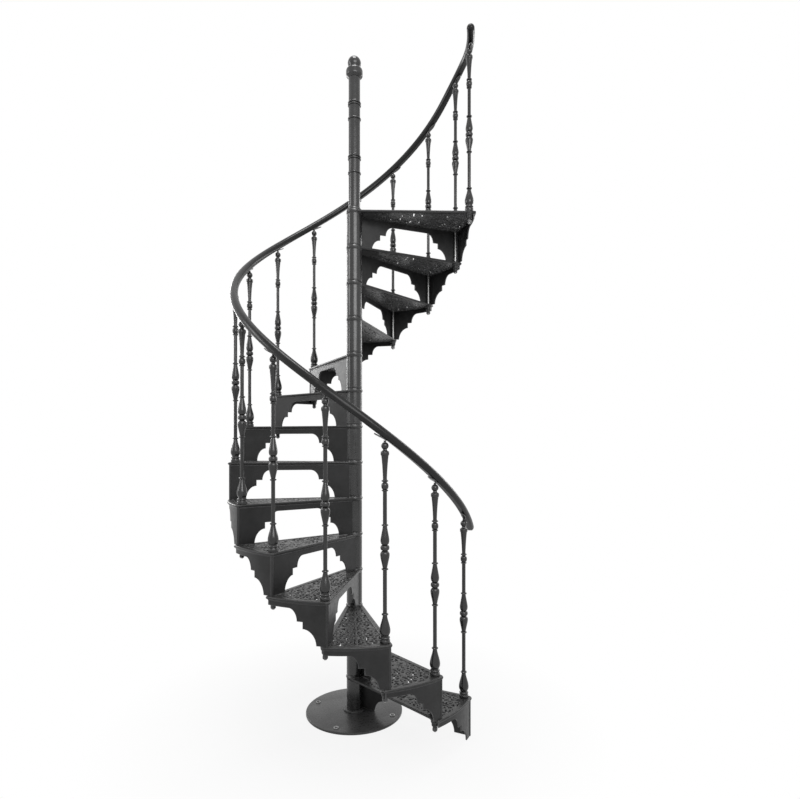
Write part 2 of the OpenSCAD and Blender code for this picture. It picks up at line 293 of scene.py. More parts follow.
def contours(field, x0, y0, step):
    """Marching squares: closed loops where the field is 0, with the solid,
    which is below 0, on their left."""
    neg = field < 0
    code = (neg[:-1, :-1] * 1 + neg[:-1, 1:] * 2 + neg[1:, 1:] * 4 + neg[1:, :-1] * 8)
    table = {1: [(3, 0)], 2: [(0, 1)], 3: [(3, 1)], 4: [(1, 2)], 6: [(0, 2)], 7: [(3, 2)],
             8: [(2, 3)], 9: [(2, 0)], 11: [(2, 1)], 12: [(1, 3)], 13: [(1, 0)], 14: [(0, 3)]}
    follow = {}

    def key(i, j, side):
        return {0: (i, j, 0), 1: (i + 1, j, 1), 2: (i, j + 1, 0), 3: (i, j, 1)}[side]

    def point(k):
        i, j, up = k
        a = field[j, i]
        b = field[j + 1, i] if up else field[j, i + 1]
        t = a / (a - b)
        return (x0 + (i + (0 if up else t)) * step, y0 + (j + (t if up else 0)) * step)

    for j, i in zip(*np.nonzero((code > 0) & (code < 15))):
        c = int(code[j, i])
        if c in (5, 10):
            mid = field[j:j + 2, i:i + 2].mean() < 0
            if c == 5:
                segs = [(3, 2), (1, 0)] if mid else [(3, 0), (1, 2)]
            else:
                segs = [(0, 3), (2, 1)] if mid else [(0, 1), (2, 3)]
        else:
            segs = table[c]
        for a, b in segs:
            follow[key(i, j, b)] = key(i, j, a)
    loops = []
    while follow:
        start = next(iter(follow))
        loop, k = [], start
        while k in follow:
            loop.append(point(k))
            k = follow.pop(k)
        loops.append(np.array(loop, float))
    return loops


def resample(loop, gap, smooth=0):
    """Evenly spaced points round a loop, smoothed so many times first."""
    for _ in range(smooth):
        loop = 0.5 * loop + 0.25 * (np.roll(loop, 1, 0) + np.roll(loop, -1, 0))
    seg = np.linalg.norm(np.roll(loop, -1, 0) - loop, axis=1)
    s = np.concatenate([[0], np.cumsum(seg)])
    n = max(8, int(round(s[-1] / gap)))
    t = np.arange(n) * s[-1] / n
    x = np.interp(t, s, np.append(loop[:, 0], loop[0, 0]))
    y = np.interp(t, s, np.append(loop[:, 1], loop[0, 1]))
    return np.stack([x, y], 1)


# ------------------------------------------------------------------- materials

def node(tree, kind, **sockets):
    """A new node with its sockets, or its own settings, given by name."""
    n = tree.nodes.new(kind)
    for name, value in sockets.items():
        if name in n.inputs:
            n.inputs[name].default_value = value
        else:
            setattr(n, name, value)
    return n


# pale tones of dirt and of worn paint; the first also paints light onto faces that look up, the second
# highlights along the ridges
DUST_AND_TOP_LIGHT_COLOUR, WORN_AND_HIGHLIGHT_COLOUR = (0.16, 0.158, 0.155), (0.20, 0.20, 0.203)


def iron(name, dark, light, rough, skin=1.0, wear_and_highlight=0.5, level=0.35, dust_and_top_light=0.25, metallic=0.0):
    """Painted iron, or steel where metallic. Its colour is mottled from dark to
    light, and its roughness varies around rough. skin is the height of the cast
    surface's bumps, wear how far the ridges are rubbed pale, worn paint that
    also paints highlights along the edges, level its specular level, and dust
    how much settles on faces that look up, pale dirt that also paints light
    onto those faces."""
    mat = bpy.data.materials.new(name)
    mat.use_nodes = True
    t = mat.node_tree
    link = t.links.new
    bsdf = t.nodes["Principled BSDF"]
    bsdf.inputs["Metallic"].default_value = metallic
    bsdf.inputs["Specular IOR Level"].default_value = level
    geo = t.nodes.new("ShaderNodeNewGeometry")

    def noise(scale, detail, roughness):
        n = node(t, "ShaderNodeTexNoise", Scale=scale, Detail=detail, Roughness=roughness)
        link(geo.outputs["Position"], n.inputs["Vector"])
        return n.outputs["Fac"]

    def ramp(fac, p0, c0, p1, c1):
        n = t.nodes.new("ShaderNodeValToRGB")
        for e, place, colour in zip(n.color_ramp.elements, (p0, p1), (c0, c1)):
            e.position = place
            e.color = (*colour, 1)
        link(fac, n.inputs["Fac"])
        return n.outputs["Color"]

    def times(x, y):
        n = node(t, "ShaderNodeMath", operation="MULTIPLY")
        link(x, n.inputs[0])
        if isinstance(y, float):
            n.inputs[1].default_value = y
        else:
            link(y, n.inputs[1])
        return n.outputs[0]

    def blend(fac, colour, over):
        n = node(t, "ShaderNodeMix", data_type="RGBA")
        link(fac, n.inputs["Factor"])
        link(colour, n.inputs[6])
        n.inputs[7].default_value = (*over, 1)
        return n.outputs[2]

    def spread(value, low, high, out_low, out_high):
        n = t.nodes.new("ShaderNodeMapRange")
        for key, v in (("From Min", low), ("From Max", high),
                       ("To Min", out_low), ("To Max", out_high)):
            n.inputs[key].default_value = v
        link(value, n.inputs["Value"])
        return n.outputs["Result"]

    # broad mottling and finer rubbing
    mottle, rub = noise(11.0, 8.0, 0.62), noise(60.0, 5.0, 0.6)
    colour = ramp(mottle, 0.34, dark, 0.70, light)
    # pale dirt on what faces up, which also paints light onto those faces, and paint worn thin on the
    # ridges, which also paints highlights along them
    up = t.nodes.new("ShaderNodeSeparateXYZ")
    link(geo.outputs["Normal"], up.inputs[0])
    # painted top light: faces that look up are lightened together with their dirt
    dust_and_top_light_share = times(spread(up.outputs["Z"], 0.4, 1.0, 0.0, dust_and_top_light), mottle)
    colour = blend(dust_and_top_light_share, colour, DUST_AND_TOP_LIGHT_COLOUR)
    ridge_wear_and_highlight = ramp(geo.outputs["Pointiness"], 0.52, (0, 0, 0), 0.62, (1, 1, 1))
    # painted highlight: convex edges are lightened together with their worn paint
    colour = blend(times(times(ridge_wear_and_highlight, rub), wear_and_highlight), colour, WORN_AND_HIGHLIGHT_COLOUR)
    link(colour, bsdf.inputs["Base Color"])
    link(spread(rub, 0.3, 0.7, rough - 0.07, rough + 0.08), bsdf.inputs["Roughness"])

    # two sizes of bump: scale of the noise, and distance in metres
    normal = None
    for scale, depth in ((48.0, 0.0010), (190.0, 0.0004)):
        b = node(t, "ShaderNodeBump", Strength=0.5 * skin, Distance=depth)
        link(noise(scale, 3.0, 0.6), b.inputs["Height"])
        if normal:
            link(normal, b.inputs["Normal"])
        normal = b.outputs["Normal"]
    link(normal, bsdf.inputs["Normal"])
    return mat


# its edges are lightened in full, to paint highlights along the lips
BLACK = iron("black_iron_satin", (0.012, 0.012, 0.012), (0.024, 0.024, 0.0245), 0.36,
             skin=0.15, wear_and_highlight=1.0, level=0.28)
HUBS = iron("black_iron_hub", (0.010, 0.010, 0.010), (0.021, 0.021, 0.0215), 0.25,
            skin=0.2, level=0.62)
TURNED = iron("black_iron_turned", (0.008, 0.008, 0.008), (0.016, 0.016, 0.0165), 0.20,
              skin=0.1, level=0.52)
RAIL = iron("rail_black_gloss", (0.006, 0.006, 0.006), (0.010, 0.010, 0.0103), 0.27,
            skin=0.05, wear_and_highlight=0.0, level=0.28, dust_and_top_light=0.05)
BASE = iron("base_iron_dull", (0.020, 0.020, 0.0202), (0.034, 0.034, 0.0344), 0.30,
            skin=0.04, wear_and_highlight=0.3, level=0.40)
NUT = iron("nut_steel_black", (0.012, 0.012, 0.0125), (0.028, 0.028, 0.029), 0.28,
           skin=0.3, wear_and_highlight=0.8, level=0.55)
STUD = iron("stud_steel", (0.20, 0.20, 0.20), (0.30, 0.30, 0.295), 0.30,
            skin=0.1, wear_and_highlight=0.0, level=0.5, dust_and_top_light=0.0, metallic=0.85)
# light by its colour and not by what it mirrors
COLLAR = iron("collar_steel_bright", (0.42, 0.42, 0.42), (0.62, 0.62, 0.61), 0.34,
              skin=0.2, wear_and_highlight=0.0, level=0.5)


def piece(name, me, mat, nodes=(), matrix=None):
    """A finished object, with its place worked into its mesh."""
    if matrix is not None:
        me = me.copy()
        me.name = name
        me.transform(matrix)
    me.materials.append(mat)
    ob = bpy.data.objects.new(name, me)
    bpy.context.scene.collection.objects.link(ob)
    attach(ob, "root")
    if nodes:
        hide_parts(*nodes)


# ------------------------------------------------------------------------ tread
# A tread is drawn with its front baluster on +x and its top at z = 0.

# bearings of its long edges, whose lines touch the hub, and of its middle line
NOSE_A = asin(NOSE / OUTER_R) - asin(HUB_R / OUTER_R)
REAR_A = -TURN - (asin(REAR / OUTER_R) - asin(HUB_R / OUTER_R))
MID_A = (NOSE_A + REAR_A) / 2
CA, SA = cos(MID_A), sin(MID_A)

NOSE_CORNER, REAR_CORNER = 20.0, 9.0    # radii in plan
# the rear corner's round ear, under the next baluster
EAR_X, EAR_Y, EAR_R = POST_R * cos(-TURN), POST_R * sin(-TURN), 24.0
EAR_FILLET = 7.0

# grid of the plan: spacing, lower left corner and counts
GRID = 2.0
GX0, GY0 = -52.0, -330.0
GNX, GNY = 380, 200
GRID_X, GRID_Y = np.meshgrid(GX0 + np.arange(GNX) * GRID, GY0 + np.arange(GNY) * GRID)

BAND = 7.0            # from the edge to the deck and the border, under the lip
BORDER = 24.0         # width of the solid border
BIG_LOOP = 20000.0    # mm2; of the loops, only whole outlines are larger
LEAST_HOLE = 34.0     # mm2; smaller openings are left solid
WIDE_GAP = 12.0       # mm from the nearest bar; wider gaps get a leaf
SCROLL_W = 56         # about how wide a scroll is
ROWS_FROM, ROWS_TO = 58.0, 664.0    # along the middle line, from the axis
HUB_RIM, POST_RIM, EAR_RIM = 62.0, 30.0, 27.0    # solid round the hub and balusters


def round_and(a, b, r):
    """Where both fields are solid, with their corner rounded to r."""
    return np.minimum(-r, np.maximum(a, b)) + np.hypot(np.maximum(a + r, 0), np.maximum(b + r, 0))


def round_or(a, b, r):
    """Where either field is solid, with a fillet of r between them."""
    return np.maximum(r, np.minimum(a, b)) - np.hypot(np.maximum(r - a, 0), np.maximum(r - b, 0))


def plan_field(x, y):
    """Distance outside the tread's outline, below 0 on the tread."""
    nose = -sin(NOSE_A) * x + cos(NOSE_A) * y - HUB_R
    rear = sin(REAR_A) * x - cos(REAR_A) * y - HUB_R
    back = -(CA * x + SA * y)
    f = round_and(nose, np.hypot(x, y) - LIP_R, NOSE_CORNER)
    f = round_and(f, rear, REAR_CORNER)
    f = np.maximum(f, back)
    f = round_or(f, np.hypot(x - EAR_X, y - EAR_Y) - EAR_R, EAR_FILLET)
    return np.minimum(f, np.hypot(x, y) - HUB_R + 1.0)


PLAN = plan_field(GRID_X, GRID_Y)


def stamp(field, u, w, r):
    """Adds a disc to a field, and its twin across the middle line; u runs
    out along that line and w across it."""
    margin = 8
    for side in (w, -w):
        x, y = u * CA - side * SA, u * SA + side * CA
        i0, i1 = int((x - r - margin - GX0) / GRID), int((x + r + margin - GX0) / GRID) + 2
        j0, j1 = int((y - r - margin - GY0) / GRID), int((y + r + margin - GY0) / GRID) + 2
        i0, j0, i1, j1 = max(i0, 0), max(j0, 0), min(i1, GNX), min(j1, GNY)
        if i1 <= i0 or j1 <= j0:
            continue
        xs = GX0 + np.arange(i0, i1) * GRID
        ys = GY0 + np.arange(j0, j1) * GRID
        d = np.hypot(xs[None, :] - x, ys[:, None] - y) - r
        field[j0:j1, i0:i1] = np.minimum(field[j0:j1, i0:i1], d)


def scroll(field, u, w, r, start, hand):
    """One foliate scroll: a tapering spiral with a bud at its end, and leaves
    that spring from its outer turn. hand is 1 or -1, the way it winds."""
    turns, n = 1.4, 110
    for i in range(n + 1):
        t = i / n
        rho = (r - 2.6) * (1 - 0.82 * t ** 0.85)
        a = start + hand * turns * 2 * math.pi * t
        stamp(field, u + rho * math.cos(a), w + rho * math.sin(a), 5.6 - 1.2 * t)
    stamp(field, u + rho * math.cos(a), w + rho * math.sin(a), 0.17 * r + 0.8)
    # each leaf's place round the outer turn, and its length as a share of r
    for q, size in ((0.05, 0.62), (0.22, 0.50), (0.40, 0.62), (0.58, 0.50), (0.74, 0.56)):
        a = start + hand * q * 2 * math.pi
        lean = a + hand * 0.75
        leaf_u, leaf_w = u + (r - 4) * math.cos(a), w + (r - 4) * math.sin(a)
        for i in range(13):
            t = i / 12
            bend = lean - hand * 0.9 * t
            leaf_u += size * r / 12 * math.cos(bend)
            leaf_w += size * r / 12 * math.sin(bend)
            swell = math.sin(math.pi * min(1.0, t * 0.9 + 0.1)) ** 0.8
            stamp(field, leaf_u, leaf_w, 2.0 + 4.6 * swell)


def scroll_rows():
    """Rows of scrolls on both sides of the deck's middle line."""
    stems = np.full(GRID_X.shape, 50.0)
    half_tan = math.tan(math.radians((NOSE_A - REAR_A) / 2))
    u, row = ROWS_FROM, 0
    while u < ROWS_TO:
        # half the width that the row fills
        half = 17 + (u + 22) * half_tan
        count = max(1, round(half / SCROLL_W))
        r = half / count / 2
        for i in range(count):
            w = r * (2 * i + 1)
            hand = 1 if (i + row) % 2 == 0 else -1
            mid = u + 0.95 * r - 14.0 * (w / 125) ** 2 * (u / 600)
            start = (math.pi - 0.5 * hand) if i % 2 == 0 else 0.4 * hand
            scroll(stems, mid, w, r * 0.98, start, hand)
        u += 1.86 * r
        row += 1
    return stems


def grow_leaf(solid, x, y):
    """A curling leaf from the nearest bar out to x, y."""
    near = np.hypot(GRID_X - x, GRID_Y - y) + np.where(solid < -0.5, 0, 1e6)
    j, i = np.unravel_index(int(near.argmin()), near.shape)
    u0, w0 = GRID_X[j, i] * CA + GRID_Y[j, i] * SA, GRID_Y[j, i] * CA - GRID_X[j, i] * SA
    u1, w1 = x * CA + y * SA, y * CA - x * SA
    curl = 0.15 if w1 > 0 else -0.15
    for q in range(15):
        t = q / 14
        off = curl * math.sin(math.pi * t)
        u = u0 + (u1 - u0) * t * 1.12 - (w1 - w0) * off
        w = w0 + (w1 - w0) * t * 1.12 + (u1 - u0) * off
        stamp(solid, u, w, 2.2 + 4.0 * t ** 1.5 * (1.0 if t < 0.86 else 0.7))


def deck_field():
    """The deck with its openwork: a stem down the middle, rows of scrolls, a
    border, and rims round the hub and under the balusters."""
    stem = np.abs(GRID_Y * CA - GRID_X * SA) - 4.0
    border = -(PLAN + BORDER)
    hub = np.hypot(GRID_X, GRID_Y) - HUB_RIM
    posts = np.minimum(np.hypot(GRID_X - POST_R, GRID_Y) - POST_RIM,
                       np.hypot(GRID_X - EAR_X, GRID_Y - EAR_Y) - EAR_RIM)
    solid = np.minimum(np.minimum(np.minimum(scroll_rows(), stem), border), np.minimum(hub, posts))
    for _ in range(120):
        gaps = np.where(PLAN < -BORDER, solid, -1)
        j, i = np.unravel_index(int(gaps.argmax()), gaps.shape)
        if gaps[j, i] < WIDE_GAP:
            break
        grow_leaf(solid, GRID_X[j, i], GRID_Y[j, i])
    # soften what the grid leaves jagged
    solid[1:-1, 1:-1] = (4 * solid[1:-1, 1:-1] + solid[:-2, 1:-1] + solid[2:, 1:-1]
                         + solid[1:-1, :-2] + solid[1:-1, 2:]) / 8
    return np.maximum(PLAN + BAND, solid)


def deck_loops():
    """The deck's outline and its openings."""
    loops = []
    for loop in contours(deck_field(), GX0, GY0, GRID):
        a = area(loop)
        if a > BIG_LOOP:
            loops.append(resample(loop, 6.0))
        elif a < -LEAST_HOLE:
            loops.append(resample(loop, 3.6, smooth=2))
    return loops


def outline(field, gap):
    """The field's outer loop, anticlockwise, as points about gap apart."""
    return next(resample(l, gap) for l in contours(field, GX0, GY0, GRID) if area(l) > BIG_LOOP)


DECK = deck_loops()
WEB_TOP = -12.5       # the webs' top, inside the border
WEB_R = 690.0         # where the riser ends
SKIRT_R = 686.0       # middle of the skirt's thickness
RISER_IN = HUB_R - LIP    # from the axis to the riser's front face


def feet(first):
    """Heights of the webs' outer and inner feet. The first tread's stand on
    the floor and the base plate, and the others' on the tread below."""
    if first:
        return -RISER, -RISER + BASE_TOP + SEAT
    return -RISER + SEAT, -RISER + SEAT


def deck_and_border(shape):
    """The openwork plate, and the flat border that stands a little over it."""
    shape.add(*plate(DECK, -12.6, -1.6, edge=1.6, under=0.0, rounds=2))
    outer = outline(PLAN + BAND, 7.0)
    inner = outline(np.maximum(PLAN + BORDER + 1.0, 50.0 - np.hypot(GRID_X, GRID_Y)), 6.0)
    shape.add(*plate([outer, inner[::-1]], -13.2, -0.1, edge=1.0, under=1.2, guard=4.0))


def lip_bead(shape):
    """Rounded lip round the whole edge."""
    edge = outline(PLAN, 6.5)
    off = inward(edge)
    # distance in from the edge, and height
    lip = [(9.5, -0.1), (7.4, 0.0), (5.0, -0.15), (2.7, -0.9), (1.0, -2.5), (0.15, -4.7),
           (0.0, -6.6), (0.25, -8.6), (1.2, -10.8), (3.0, -12.6), (5.4, -13.6), (9.5, -13.9)]
    verts = []
    for d, z in lip:
        verts += [(x, y, z) for x, y in edge + off * d]
    shape.add(verts, wrap(len(lip), len(edge), closed=True))


def arch_side(foot, top, bottom):
    """Half an arch as points going up: foot, cove, step and cove. foot gives
    the places of its foot, the step's two ends and the crown, and top the
    crown's depth below the tread's top."""
    def quarter(cx, cy, rx, ry, n=12):
        return [(cx + rx * math.cos(math.pi / 2 * i / n), cy + ry * math.sin(math.pi / 2 * i / n))
                for i in range(n + 1)]
    low = quarter(foot[1], -RISER - 2, foot[0] - foot[1], COVE + 2)
    pts = [(low[0][0], bottom)] + [p for p in low if p[1] > bottom + 3]
    pts += [(foot[1], ARCH_STEP - RISER), (foot[2], ARCH_STEP - RISER)]
    pts += quarter(foot[3], ARCH_STEP - RISER, foot[2] - foot[3], RISER - ARCH_STEP - top)[1:]
    return pts


def riser(shape, first):
    """Flat web with a stepped arch, under the nosing, and its moulding."""
    ca, sa = cos(NOSE_A), sin(NOSE_A)
    foot_out, foot_in = feet(first)
    length = math.sqrt(WEB_R ** 2 - RISER_IN ** 2)
    inner_side = arch_side([HUB_R + v for v in (71, 124, 160, 207)], APRON + 4, foot_in)
    outer_side = arch_side([length - v for v in (88, 144, 176, 216)], APRON + 4, foot_out)
    x0, x1 = 27, 687
    web = [(x0, WEB_TOP), (x0, foot_in)] + inner_side + outer_side[::-1]
    web += [(x1, foot_out), (x1, WEB_TOP)]
    strip = [(36, -13.4), (36, -19.0), (684, -19.0), (684, -13.4)]

    def on_riser(p):
        x, z, t = p
        y = RISER_IN - WALL + t
        return (x * ca - y * sa, x * sa + y * ca, z)

    web, strip = ccw(web), ccw(strip)
    shape.add(*plate([web], 0.0, WALL - 0.2, edge=1.3, under=1.0, guard=5.0), place=on_riser)
    shape.add(*plate([strip], WALL - 1.0, WALL + 2.2, edge=1.6, under=0.2, rounds=2), place=on_riser)


def skirt(shape, first):
    """Curved web with half an arch, under the outer lip, and its moulding."""
    foot_out = feet(first)[0]
    span = 2 * OUTER_R * sin(TURN / 2)
    foot = [span / 2 - v * span for v in (0.127, 0.354, 0.455, 0.6)]
    t0 = SKIRT_R * sin(asin(RISER_IN / SKIRT_R) + NOSE_A + TURN / 2)
    t1 = -SKIRT_R * sin(-(REAR_A - asin(RISER_IN / SKIRT_R)) - TURN / 2)
    low = [(t0 + (foot[0] - t0) * i / 5, foot_out) for i in range(5)]
    low += arch_side(foot, APRON, foot_out)
    low += [(foot[3] + (t1 - foot[3]) * i / 14, -APRON) for i in range(1, 15)]
    top = [(t1 + (t0 - t1) * i / 30, WEB_TOP) for i in range(31)]

    def on_skirt(p):
        """t along the chord of the step, z up and r out from the axis."""
        t, z, r = p
        a = math.asin(max(-1, min(1, t / SKIRT_R))) - math.radians(TURN / 2)
        return (r * math.cos(a), r * math.sin(a), z)

    shape.add(*plate([ccw(low + top)], 682.2, 689.8, edge=1.1, under=1.0, guard=5.0), place=on_skirt)
    # radius and height
    moulding = [(689.0, -13.2), (691.4, -13.2), (692.0, -14.6), (691.6, -16.6), (690.4, -18.6),
                (689.0, -19.2)]
    count = 40
    verts = [(t0 + (t1 - t0) * i / count, z, r) for i in range(count + 1) for r, z in moulding]
    faces = wrap(count + 1, len(moulding)) + ends(count + 1, len(moulding))
    shape.add(verts, faces, place=on_skirt)


def corner_bead(shape, first):
    """Round bead down the corner between riser and skirt."""
    y = 29.0
    x = math.sqrt(685.0 ** 2 - y ** 2)
    low = feet(first)[0]
    bead = [(0, low), (7.0, low), (8.0, low + 1.2), (8.0, -13.0), (0, -13.0)]
    shape.add(*lathe(bead, 28), place=swung(NOSE_A, x, y))


def socket(shape):
    """Turned socket at the rear corner, for the next baluster's stud."""
    low, bore = -LUG, 8.4
    outer = [(bore, low + 1), (9.2, low), (10.8, low), (11.6, low + 0.8), (11.6, low + 6.5),
             (13.6, low + 7.6), (15.6, low + 9.6), (16.6, low + 12), (17.0, low + 15), (17.0, low + 25),
             (17.6, low + 25.8), (19.6, low + 27), (20.2, low + 29), (19.6, low + 31), (18.2, low + 32),
             (18.6, low + 33.5), (21.5, low + 36), (22.5, -9.0), (bore, -9.0)]
    shape.add(*lathe(outer + [outer[0]], 40), place=swung(0, EAR_X, EAR_Y))


def tread_shape(first):
    """A whole tread but for its hub."""
    shape = Shape()
    deck_and_border(shape)
    lip_bead(shape)
    riser(shape, first)
    skirt(shape, first)
    corner_bead(shape, first)
    socket(shape)
    return shape


def hub_shape(first):
    """Hub sleeve with a bead between two grooves at its top."""
    low = -RISER + SEAT + (BOSS_TOP if first else HUB_LIFT)
    side = [(HUB_R - 0.6, low), (HUB_R, low + 0.8), (HUB_R, -19.5), (HUB_R - 1.6, -18.0),
            (HUB_R - 1.6, -15.5), (HUB_R + 0.8, -13.5)]
    side += [(HUB_R + 0.6 + 3.3 * math.sin(math.pi * i / 10), -12.0 + 1.75 * i) for i in range(1, 10)]
    side += [(HUB_R + 0.6, 5.4), (HUB_R - 1.4, 6.6), (HUB_R - 1.4, 8.4), (HUB_R - 0.4, 9.4),
             (HUB_R - 0.4, 11.0), (HUB_R - 1.4, HUB_LIFT)]
    shape = Shape()
    shape.add(*lathe([(BORE_R, low)] + side + [(BORE_R, HUB_LIFT), (BORE_R, low)], 72))
    return shape


def placed(k):
    """Where tread k goes."""
    return Matrix.Translation((0, 0, k * RISER * MM)) @ Matrix.Rotation(-math.radians(turn(k)), 4, "Z")


treads = {True: tread_shape(True).mesh("tread_first"),
          False: tread_shape(False).mesh("tread_casting")}
hubs = {True: hub_shape(True).mesh("hub_first", sharp=40),
        False: hub_shape(False).mesh("hub_sleeve", sharp=40)}
for k in range(1, STEPS + 1):
    nodes = (f"tread_{k:02d}",)
    piece(f"tread_casting_{k:02d}", treads[k == 1], BLACK, nodes, placed(k))
    piece(f"hub_sleeve_{k:02d}", hubs[k == 1], HUBS, nodes, placed(k))


# -------------------------------------------------------------------- handrail
# Places along the rail are counted in steps, from 0 over the first baluster.

BEND = 0.5            # half the length of the bend where the rail levels out
RAIL_PAST = 12.0      # degrees that the rail runs on past the end balusters
RAIL_FLAT = 3.9       # how much is missing from the round of its underside
# a hair under the CAD's radius, so that the rail stays inside the CAD's box
RAIL_SKIN = RAIL_D / 2 - 0.01
RAIL_HALF = RAIL_D / 2 + 1.5    # middle line to underside, with room to spare
# pitch of the climb, and the middle line's height over a baluster's top there
PITCH = math.atan(RISER / (math.radians(TURN) * RAIL_R))
LIFT = RAIL_HALF / math.cos(PITCH) + RAIL_GAP


def climb(s):
    """Steps that the rail has climbed at s. It levels out over baluster 14."""
    if s < STEPS - 1 - BEND:
        return s
    if s < STEPS - 1 + BEND:
        return s - (s - STEPS + 1 + BEND) ** 2 / (4 * BEND)
    return STEPS - 1


def rail_z(s):
    """Height of the rail's middle line at s."""
    return RISER * (1 + climb(s)) + BALUSTER_H + LIFT


def slope(s):
    """Pitch of the rail in radians."""
    return math.atan((rail_z(s + 0.01) - rail_z(s - 0.01)) / (0.02 * math.radians(TURN) * RAIL_R))


def post_top(k):
    """Height of the top of baluster k."""
    return rail_z(k - 1) - RAIL_HALF / math.cos(slope(k - 1)) - RAIL_GAP


def rail_point(s, a, b):
    """a outwards and b upwards of the rail's middle line at s."""
    t, e = -math.radians(FIRST + s * TURN), slope(s)
    r, fwd = RAIL_R + a, -b * math.sin(e)
    return (r * math.cos(t) + fwd * math.sin(t), r * math.sin(t) - fwd * math.cos(t),
            rail_z(s) + b * math.cos(e))


def handrail():
    """Round rail with a flatter underside and rounded ends."""
    sides, count = 28, 250
    end = RAIL_PAST / TURN
    # each row's place and width; both ends are rounded over the length q
    q = RAIL_D / 2 / RAIL_R / math.radians(TURN)
    caps = [(q * (1 - math.sin(math.pi / 2 * i / 8)), math.cos(math.pi / 2 * i / 8))
            for i in range(1, 8)]
    rows = [(-end + d, w) for d, w in reversed(caps)]
    rows += [(-end + q + (STEPS + 2 * end - 2 * q) * i / count, 1.0) for i in range(count + 1)]
    rows += [(STEPS + end - d, w) for d, w in caps]
    verts = []
    for place, w in rows:
        for j in range(sides):
            a = 2 * math.pi * j / sides
            x, y = RAIL_SKIN * math.cos(a), RAIL_SKIN * math.sin(a)
            y = max(y, -RAIL_D / 2 + RAIL_FLAT)
            verts.append(rail_point(place, w * x, w * y))
    shape = Shape()
    shape.add(verts, wrap(len(rows), sides) + ends(len(rows), sides))
    return shape.mesh("handrail_tube", sharp=40)


piece("handrail_tube", handrail(), RAIL, ("handrail",))


FLATTER = math.radians(9)     # how much less the saddles are pitched than the rail


def saddle_leaf():
    """Pointed oval, longer uphill, which is towards -y."""
    leaf = []
    for i in range(48):
        a = 2 * math.pi * i / 48
        c = math.cos(a)
        leaf.append((11.5 * math.sin(a) * (1 - 0.35 * abs(c) ** 2.2), -10.0 - 36.0 * c))
    return ccw(leaf)


def saddles():
    """Leaf shaped saddle plates under the rail, each on a short neck."""
    shape, leaf = Shape(), saddle_leaf()
    for k in range(1, STEPS + 2):
        st = k - 1
        e = slope(st)
        # where the rail levels out it curves down past a flat saddle, which sits
        # lower by bow, worked out from how the pitch changes over about 28 mm
        bow = (slope(st - 0.1) - slope(st + 0.1)) * 28 / 2.5
        b0 = -RAIL_D / 2 + 4 - SEAT - 0.15 - bow - 5.5
        t = -math.radians(turn(k))

        def place(p):
            v = Matrix.Rotation(FLATTER, 3, "X") @ Vector(p) + Vector((0, 0, b0))
            v = Matrix.Rotation(-e, 3, "X") @ v + Vector((RAIL_R, 0, rail_z(st)))
            return tuple(Matrix.Rotation(t, 3, "Z") @ v)

        shape.add(*plate([leaf], 0.0, 5.3, edge=0.5, under=1.8), place=place)
        top = post_top(k)
        high = (rail_z(st) + (b0 + 1.2) / math.cos(e)) - top
        neck = [(0, 0.4), (7.4, 0.4), (6.2, 2.0), (5.6, 3.4), (5.9, high - 1.5), (6.6, high),
                (0, high)]
        shape.add(*lathe(neck, 24), place=swung(-turn(k), POST_R, 0.0, top))
    return shape.mesh("rail_saddles")


piece("rail_saddles", saddles(), TURNED, ("rail_brackets",))


# ------------------------------------------------------------------- balusters
# Turnings are points of (share of the baluster's height, radius).

ROD_R = 9.5
FULLER = 1.24         # how much prouder of the rod the turnings are than drawn
TOP_BALL_R = 17.6


def ring(c, r, w):
    """Thin ring of radius w round a rod of radius r."""
    return [(c - 0.0048, r), (c - 0.0046, r + 1.6), (c - 0.0036, w - 1.4), (c - 0.0018, w),
            (c + 0.0018, w), (c + 0.0036, w - 1.4), (c + 0.0046, r + 1.6), (c + 0.0048, r)]


def small_ball(c, half, r, out):
    """Ball out to r + out, reaching half below and above c."""
    return [(c - half * math.cos(math.pi * i / 9), r + out * math.sin(math.pi * i / 9) ** 0.8)
            for i in range(1, 9)]


